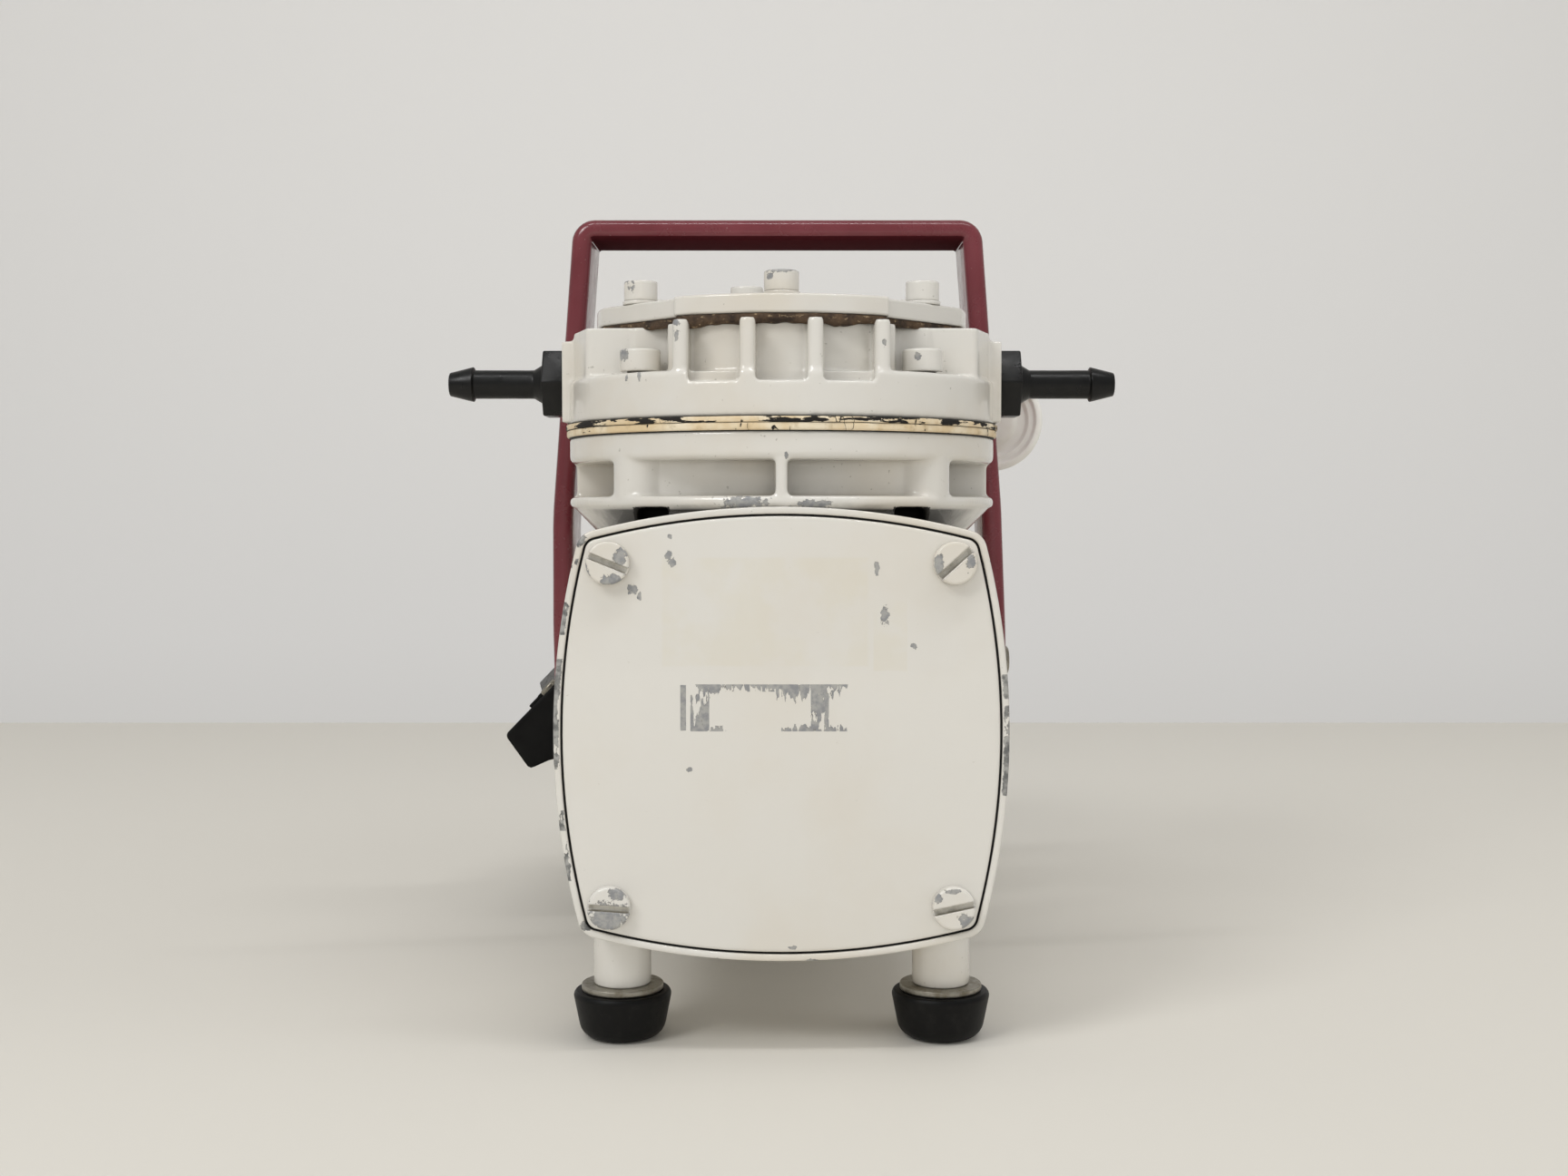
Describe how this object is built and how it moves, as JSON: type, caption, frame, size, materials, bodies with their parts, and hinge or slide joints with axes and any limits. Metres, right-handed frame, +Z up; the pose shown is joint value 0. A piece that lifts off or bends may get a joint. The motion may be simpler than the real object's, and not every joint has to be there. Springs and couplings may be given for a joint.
{
  "type": "diaphragm vacuum pump",
  "caption": "Compact diaphragm vacuum pump: bulged-square cast crankcase, round finned head with two hose nozzles, strip carrying handle and a fan-cooled motor behind, on rubber feet.",
  "frame": {"origin": "bottom centre of the bounding box, on the plane that the rubber feet stand on", "axes": "+X to the outlet nozzle, +Y from the pump's front cover back along the motor shaft, +Z up"},
  "size_m": [0.1752, 0.261, 0.2121],
  "materials": {
    "cream_enamel": "thick off-white enamel over cast aluminium, chipped at edges",
    "painted_steel_fasteners": "enamel painted over with the casting",
    "maroon_enamel": "glossy maroon enamel on steel strip",
    "zinc_steel": "zinc plated steel",
    "ground_steel": "ground bearing steel",
    "grey_iron": "cast iron and electrical sheet",
    "bare_aluminium": "die-cast aluminium",
    "copper_windings": "enamelled copper wire",
    "black_rubber": "moulded rubber",
    "brown_fibre": "pressed fibre gasket",
    "valve_plastic": "moulded acetal",
    "black_plastic": "moulded black plastic, scuffed",
    "black_gloss_plastic": "polished black plastic",
    "grey_plastic_fan": "moulded polyamide",
    "white_plastic": "moulded off-white plastic"
  },
  "bodies": {
    "housing": {"bracket_screws": "painted_steel_fasteners", "cable_gland": "black_plastic", "cable_gland_cap": "black_plastic", "capacitor": "white_plastic", "capacitor_bracket": "painted_steel_fasteners", "capacitor_nut": "zinc_steel", "crankcase": "cream_enamel", "diaphragm": "black_rubber", "diaphragm_ring": "cream_enamel", "exhaust_valve_stop": "valve_plastic", "fan_cover": "cream_enamel", "fan_cover_screws": "painted_steel_fasteners", "foot_screws": "zinc_steel", "foot_washers": "zinc_steel", "front_bearing_outer_ring": "ground_steel", "front_cover": "cream_enamel", "front_cover_gasket": "black_rubber", "front_cover_screws": "painted_steel_fasteners", "handle": "maroon_enamel", "handle_screws": "zinc_steel", "head_body": "cream_enamel", "head_clamp_screws": "painted_steel_fasteners", "head_cover": "cream_enamel", "head_cover_screws": "painted_steel_fasteners", "head_cover_washers": "painted_steel_fasteners", "head_gasket": "brown_fibre", "inlet_nozzle": "black_plastic", "intake_valve_seat": "valve_plastic", "motor_front_shield": "cream_enamel", "motor_housing": "cream_enamel", "motor_rear_shield": "cream_enamel", "motor_tie_bolts": "zinc_steel", "nozzle_seals": "black_rubber", "outlet_nozzle": "black_plastic", "rear_bearing_outer_ring": "ground_steel", "rubber_feet": "black_rubber", "stator_core": "grey_iron", "stator_windings": "copper_windings", "switch_box": "black_plastic", "switch_box_screws": "zinc_steel", "switch_frame": "black_plastic"},
    "motor_rotor": {"motor_shaft": "ground_steel", "rotor_core": "grey_iron", "front_bearing_inner_ring": "ground_steel", "rear_bearing_inner_ring": "ground_steel", "cooling_fan": "grey_plastic_fan", "eccentric": "grey_iron", "eccentric_set_screw": "zinc_steel", "rod_bearing_inner_ring": "ground_steel"},
    "rod": {"connecting_rod": "bare_aluminium", "rod_bearing_outer_ring": "ground_steel", "diaphragm_support_disc": "bare_aluminium", "diaphragm_clamp_disc": "bare_aluminium", "diaphragm_clamp_screw": "zinc_steel"},
    "intake_valve": {"intake_valve_disc": "black_rubber"},
    "exhaust_valve": {"exhaust_valve_disc": "black_rubber"},
    "rocker": {"switch_rocker": "black_gloss_plastic"}
  },
  "joints": [
    {"name": "crank_turn", "type": "hinge", "parent": "housing", "child": "motor_rotor", "pos_m": [0, -0.0695, 0.0761], "axis": [0, 1, 0], "continuous": true, "deforming": ["diaphragm"]},
    {"name": "rod_swing", "type": "hinge", "parent": "motor_rotor", "child": "rod", "pos_m": [0, -0.0695, 0.0727], "axis": [0, 1, 0], "continuous": true},
    {"name": "intake_valve_lift", "type": "slide", "parent": "housing", "child": "intake_valve", "axis": [0, 0, 1], "range_m": [0, 0.0007]},
    {"name": "exhaust_valve_lift", "type": "slide", "parent": "housing", "child": "exhaust_valve", "axis": [0, 0, 1], "range_m": [0, 0.0007]},
    {"name": "rocker_tilt", "type": "hinge", "parent": "housing", "child": "rocker", "pos_m": [-0.0722, 0.0368, 0.07305], "axis": [0.697, 0, 0.717], "range_deg": [-16, 0]}
  ],
  "couplings": [
    {"joint": "rod_swing", "follows": "crank_turn", "ratio": -1}
  ]
}
